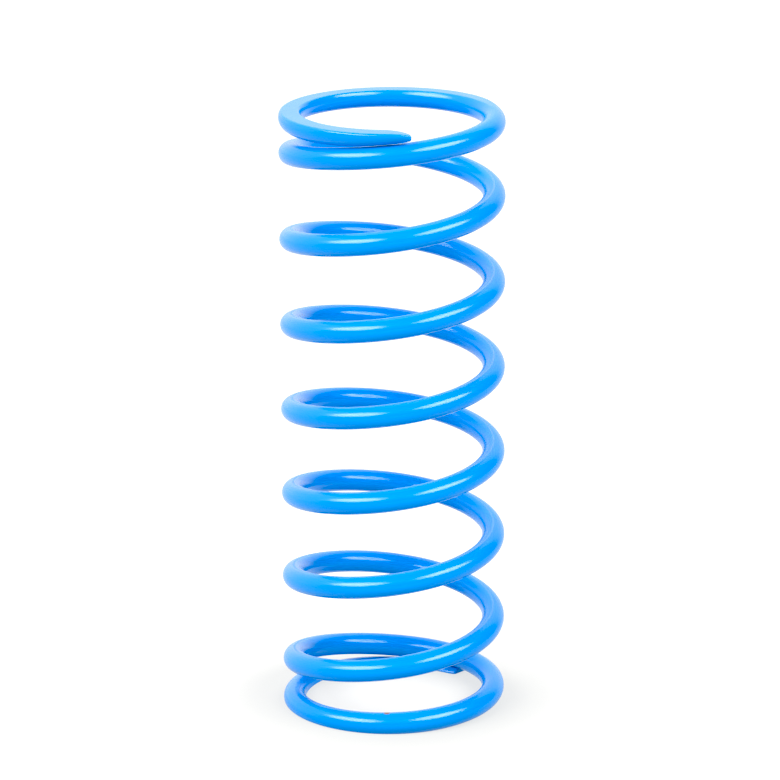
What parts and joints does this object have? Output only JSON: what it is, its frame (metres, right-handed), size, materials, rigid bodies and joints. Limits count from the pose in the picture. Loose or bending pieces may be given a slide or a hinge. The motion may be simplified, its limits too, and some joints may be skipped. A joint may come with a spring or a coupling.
{
  "type": "coil spring",
  "caption": "Right-hand wound steel compression coil spring with closed ends ground flat, coated in glossy blue paint.",
  "frame": {"origin": "on the spring's axis, in the plane of the lower ground face", "axes": "+Z along the axis from the lower to the upper ground face; +X and +Y are set by the wire's lower tip, which lies 47.5 degrees round from +X, counter-clockwise seen from above; seen from -Y the upper tip is at the front"},
  "size_m": [0.075, 0.075, 0.205],
  "materials": {
    "blue_coat": "gloss powder coat"
  },
  "bodies": {
    "lower_end_coil": {"lower_end_coil": "blue_coat"},
    "turn_1_arc_1": {"turn_1_arc_1": "blue_coat"},
    "turn_1_arc_2": {"turn_1_arc_2": "blue_coat"},
    "turn_1_arc_3": {"turn_1_arc_3": "blue_coat"},
    "turn_1_arc_4": {"turn_1_arc_4": "blue_coat"},
    "turn_1_arc_5": {"turn_1_arc_5": "blue_coat"},
    "turn_1_arc_6": {"turn_1_arc_6": "blue_coat"},
    "turn_2_arc_1": {"turn_2_arc_1": "blue_coat"},
    "turn_2_arc_2": {"turn_2_arc_2": "blue_coat"},
    "turn_2_arc_3": {"turn_2_arc_3": "blue_coat"},
    "turn_2_arc_4": {"turn_2_arc_4": "blue_coat"},
    "turn_2_arc_5": {"turn_2_arc_5": "blue_coat"},
    "turn_2_arc_6": {"turn_2_arc_6": "blue_coat"},
    "turn_3_arc_1": {"turn_3_arc_1": "blue_coat"},
    "turn_3_arc_2": {"turn_3_arc_2": "blue_coat"},
    "turn_3_arc_3": {"turn_3_arc_3": "blue_coat"},
    "turn_3_arc_4": {"turn_3_arc_4": "blue_coat"},
    "turn_3_arc_5": {"turn_3_arc_5": "blue_coat"},
    "turn_3_arc_6_lower_half": {"turn_3_arc_6_lower_half": "blue_coat"},
    "turn_3_arc_6_upper_half": {"turn_3_arc_6_upper_half": "blue_coat"},
    "turn_4_arc_1": {"turn_4_arc_1": "blue_coat"},
    "turn_4_arc_2": {"turn_4_arc_2": "blue_coat"},
    "turn_4_arc_3": {"turn_4_arc_3": "blue_coat"},
    "turn_4_arc_4": {"turn_4_arc_4": "blue_coat"},
    "turn_4_arc_5": {"turn_4_arc_5": "blue_coat"},
    "turn_4_arc_6": {"turn_4_arc_6": "blue_coat"},
    "turn_5_arc_1": {"turn_5_arc_1": "blue_coat"},
    "turn_5_arc_2": {"turn_5_arc_2": "blue_coat"},
    "turn_5_arc_3": {"turn_5_arc_3": "blue_coat"},
    "turn_5_arc_4": {"turn_5_arc_4": "blue_coat"},
    "turn_5_arc_5": {"turn_5_arc_5": "blue_coat"},
    "turn_5_arc_6": {"turn_5_arc_6": "blue_coat"},
    "turn_6_arc_1": {"turn_6_arc_1": "blue_coat"},
    "turn_6_arc_2": {"turn_6_arc_2": "blue_coat"},
    "turn_6_arc_3": {"turn_6_arc_3": "blue_coat"},
    "turn_6_arc_4": {"turn_6_arc_4": "blue_coat"},
    "turn_6_arc_5": {"turn_6_arc_5": "blue_coat"},
    "upper_end_coil": {"upper_end_coil": "blue_coat"}
  },
  "joints": [
    {"name": "compression", "type": "slide", "parent": "lower_end_coil", "child": "upper_end_coil", "axis": [0, 0, 1], "range_m": [-0.126, 0], "stiffness_N_per_m": 15300},
    {"name": "turn_1_arc_1_sink", "type": "slide", "parent": "lower_end_coil", "child": "turn_1_arc_1", "axis": [0, 0, 1], "range_m": [-0.0035, 0]},
    {"name": "turn_1_arc_2_sink", "type": "slide", "parent": "turn_1_arc_1", "child": "turn_1_arc_2", "axis": [0, 0, 1], "range_m": [-0.0035, 0]},
    {"name": "turn_1_arc_3_sink", "type": "slide", "parent": "turn_1_arc_2", "child": "turn_1_arc_3", "axis": [0, 0, 1], "range_m": [-0.0035, 0]},
    {"name": "turn_1_arc_4_sink", "type": "slide", "parent": "turn_1_arc_3", "child": "turn_1_arc_4", "axis": [0, 0, 1], "range_m": [-0.0035, 0]},
    {"name": "turn_1_arc_5_sink", "type": "slide", "parent": "turn_1_arc_4", "child": "turn_1_arc_5", "axis": [0, 0, 1], "range_m": [-0.0035, 0]},
    {"name": "turn_1_arc_6_sink", "type": "slide", "parent": "turn_1_arc_5", "child": "turn_1_arc_6", "axis": [0, 0, 1], "range_m": [-0.0035, 0]},
    {"name": "turn_2_arc_1_sink", "type": "slide", "parent": "turn_1_arc_6", "child": "turn_2_arc_1", "axis": [0, 0, 1], "range_m": [-0.0035, 0]},
    {"name": "turn_2_arc_2_sink", "type": "slide", "parent": "turn_2_arc_1", "child": "turn_2_arc_2", "axis": [0, 0, 1], "range_m": [-0.0035, 0]},
    {"name": "turn_2_arc_3_sink", "type": "slide", "parent": "turn_2_arc_2", "child": "turn_2_arc_3", "axis": [0, 0, 1], "range_m": [-0.0035, 0]},
    {"name": "turn_2_arc_4_sink", "type": "slide", "parent": "turn_2_arc_3", "child": "turn_2_arc_4", "axis": [0, 0, 1], "range_m": [-0.0035, 0]},
    {"name": "turn_2_arc_5_sink", "type": "slide", "parent": "turn_2_arc_4", "child": "turn_2_arc_5", "axis": [0, 0, 1], "range_m": [-0.0035, 0]},
    {"name": "turn_2_arc_6_sink", "type": "slide", "parent": "turn_2_arc_5", "child": "turn_2_arc_6", "axis": [0, 0, 1], "range_m": [-0.0035, 0]},
    {"name": "turn_3_arc_1_sink", "type": "slide", "parent": "turn_2_arc_6", "child": "turn_3_arc_1", "axis": [0, 0, 1], "range_m": [-0.0035, 0]},
    {"name": "turn_3_arc_2_sink", "type": "slide", "parent": "turn_3_arc_1", "child": "turn_3_arc_2", "axis": [0, 0, 1], "range_m": [-0.0035, 0]},
    {"name": "turn_3_arc_3_sink", "type": "slide", "parent": "turn_3_arc_2", "child": "turn_3_arc_3", "axis": [0, 0, 1], "range_m": [-0.0035, 0]},
    {"name": "turn_3_arc_4_sink", "type": "slide", "parent": "turn_3_arc_3", "child": "turn_3_arc_4", "axis": [0, 0, 1], "range_m": [-0.0035, 0]},
    {"name": "turn_3_arc_5_sink", "type": "slide", "parent": "turn_3_arc_4", "child": "turn_3_arc_5", "axis": [0, 0, 1], "range_m": [-0.0035, 0]},
    {"name": "turn_3_arc_6_lower_half_sink", "type": "slide", "parent": "turn_3_arc_5", "child": "turn_3_arc_6_lower_half", "axis": [0, 0, 1], "range_m": [-0.0035, 0]},
    {"name": "turn_6_arc_5_sink", "type": "slide", "parent": "upper_end_coil", "child": "turn_6_arc_5", "axis": [0, 0, -1], "range_m": [-0.0035, 0]},
    {"name": "turn_6_arc_4_sink", "type": "slide", "parent": "turn_6_arc_5", "child": "turn_6_arc_4", "axis": [0, 0, -1], "range_m": [-0.0035, 0]},
    {"name": "turn_6_arc_3_sink", "type": "slide", "parent": "turn_6_arc_4", "child": "turn_6_arc_3", "axis": [0, 0, -1], "range_m": [-0.0035, 0]},
    {"name": "turn_6_arc_2_sink", "type": "slide", "parent": "turn_6_arc_3", "child": "turn_6_arc_2", "axis": [0, 0, -1], "range_m": [-0.0035, 0]},
    {"name": "turn_6_arc_1_sink", "type": "slide", "parent": "turn_6_arc_2", "child": "turn_6_arc_1", "axis": [0, 0, -1], "range_m": [-0.0035, 0]},
    {"name": "turn_5_arc_6_sink", "type": "slide", "parent": "turn_6_arc_1", "child": "turn_5_arc_6", "axis": [0, 0, -1], "range_m": [-0.0035, 0]},
    {"name": "turn_5_arc_5_sink", "type": "slide", "parent": "turn_5_arc_6", "child": "turn_5_arc_5", "axis": [0, 0, -1], "range_m": [-0.0035, 0]},
    {"name": "turn_5_arc_4_sink", "type": "slide", "parent": "turn_5_arc_5", "child": "turn_5_arc_4", "axis": [0, 0, -1], "range_m": [-0.0035, 0]},
    {"name": "turn_5_arc_3_sink", "type": "slide", "parent": "turn_5_arc_4", "child": "turn_5_arc_3", "axis": [0, 0, -1], "range_m": [-0.0035, 0]},
    {"name": "turn_5_arc_2_sink", "type": "slide", "parent": "turn_5_arc_3", "child": "turn_5_arc_2", "axis": [0, 0, -1], "range_m": [-0.0035, 0]},
    {"name": "turn_5_arc_1_sink", "type": "slide", "parent": "turn_5_arc_2", "child": "turn_5_arc_1", "axis": [0, 0, -1], "range_m": [-0.0035, 0]},
    {"name": "turn_4_arc_6_sink", "type": "slide", "parent": "turn_5_arc_1", "child": "turn_4_arc_6", "axis": [0, 0, -1], "range_m": [-0.0035, 0]},
    {"name": "turn_4_arc_5_sink", "type": "slide", "parent": "turn_4_arc_6", "child": "turn_4_arc_5", "axis": [0, 0, -1], "range_m": [-0.0035, 0]},
    {"name": "turn_4_arc_4_sink", "type": "slide", "parent": "turn_4_arc_5", "child": "turn_4_arc_4", "axis": [0, 0, -1], "range_m": [-0.0035, 0]},
    {"name": "turn_4_arc_3_sink", "type": "slide", "parent": "turn_4_arc_4", "child": "turn_4_arc_3", "axis": [0, 0, -1], "range_m": [-0.0035, 0]},
    {"name": "turn_4_arc_2_sink", "type": "slide", "parent": "turn_4_arc_3", "child": "turn_4_arc_2", "axis": [0, 0, -1], "range_m": [-0.0035, 0]},
    {"name": "turn_4_arc_1_sink", "type": "slide", "parent": "turn_4_arc_2", "child": "turn_4_arc_1", "axis": [0, 0, -1], "range_m": [-0.0035, 0]},
    {"name": "turn_3_arc_6_upper_half_sink", "type": "slide", "parent": "turn_4_arc_1", "child": "turn_3_arc_6_upper_half", "axis": [0, 0, -1], "range_m": [-0.0035, 0]}
  ],
  "couplings": [
    {"joint": "turn_1_arc_1_sink", "follows": "compression", "ratio": 0.027778},
    {"joint": "turn_1_arc_2_sink", "follows": "compression", "ratio": 0.027778},
    {"joint": "turn_1_arc_3_sink", "follows": "compression", "ratio": 0.027778},
    {"joint": "turn_1_arc_4_sink", "follows": "compression", "ratio": 0.027778},
    {"joint": "turn_1_arc_5_sink", "follows": "compression", "ratio": 0.027778},
    {"joint": "turn_1_arc_6_sink", "follows": "compression", "ratio": 0.027778},
    {"joint": "turn_2_arc_1_sink", "follows": "compression", "ratio": 0.027778},
    {"joint": "turn_2_arc_2_sink", "follows": "compression", "ratio": 0.027778},
    {"joint": "turn_2_arc_3_sink", "follows": "compression", "ratio": 0.027778},
    {"joint": "turn_2_arc_4_sink", "follows": "compression", "ratio": 0.027778},
    {"joint": "turn_2_arc_5_sink", "follows": "compression", "ratio": 0.027778},
    {"joint": "turn_2_arc_6_sink", "follows": "compression", "ratio": 0.027778},
    {"joint": "turn_3_arc_1_sink", "follows": "compression", "ratio": 0.027778},
    {"joint": "turn_3_arc_2_sink", "follows": "compression", "ratio": 0.027778},
    {"joint": "turn_3_arc_3_sink", "follows": "compression", "ratio": 0.027778},
    {"joint": "turn_3_arc_4_sink", "follows": "compression", "ratio": 0.027778},
    {"joint": "turn_3_arc_5_sink", "follows": "compression", "ratio": 0.027778},
    {"joint": "turn_3_arc_6_lower_half_sink", "follows": "compression", "ratio": 0.027778},
    {"joint": "turn_6_arc_5_sink", "follows": "compression", "ratio": 0.027778},
    {"joint": "turn_6_arc_4_sink", "follows": "compression", "ratio": 0.027778},
    {"joint": "turn_6_arc_3_sink", "follows": "compression", "ratio": 0.027778},
    {"joint": "turn_6_arc_2_sink", "follows": "compression", "ratio": 0.027778},
    {"joint": "turn_6_arc_1_sink", "follows": "compression", "ratio": 0.027778},
    {"joint": "turn_5_arc_6_sink", "follows": "compression", "ratio": 0.027778},
    {"joint": "turn_5_arc_5_sink", "follows": "compression", "ratio": 0.027778},
    {"joint": "turn_5_arc_4_sink", "follows": "compression", "ratio": 0.027778},
    {"joint": "turn_5_arc_3_sink", "follows": "compression", "ratio": 0.027778},
    {"joint": "turn_5_arc_2_sink", "follows": "compression", "ratio": 0.027778},
    {"joint": "turn_5_arc_1_sink", "follows": "compression", "ratio": 0.027778},
    {"joint": "turn_4_arc_6_sink", "follows": "compression", "ratio": 0.027778},
    {"joint": "turn_4_arc_5_sink", "follows": "compression", "ratio": 0.027778},
    {"joint": "turn_4_arc_4_sink", "follows": "compression", "ratio": 0.027778},
    {"joint": "turn_4_arc_3_sink", "follows": "compression", "ratio": 0.027778},
    {"joint": "turn_4_arc_2_sink", "follows": "compression", "ratio": 0.027778},
    {"joint": "turn_4_arc_1_sink", "follows": "compression", "ratio": 0.027778},
    {"joint": "turn_3_arc_6_upper_half_sink", "follows": "compression", "ratio": 0.027778}
  ]
}
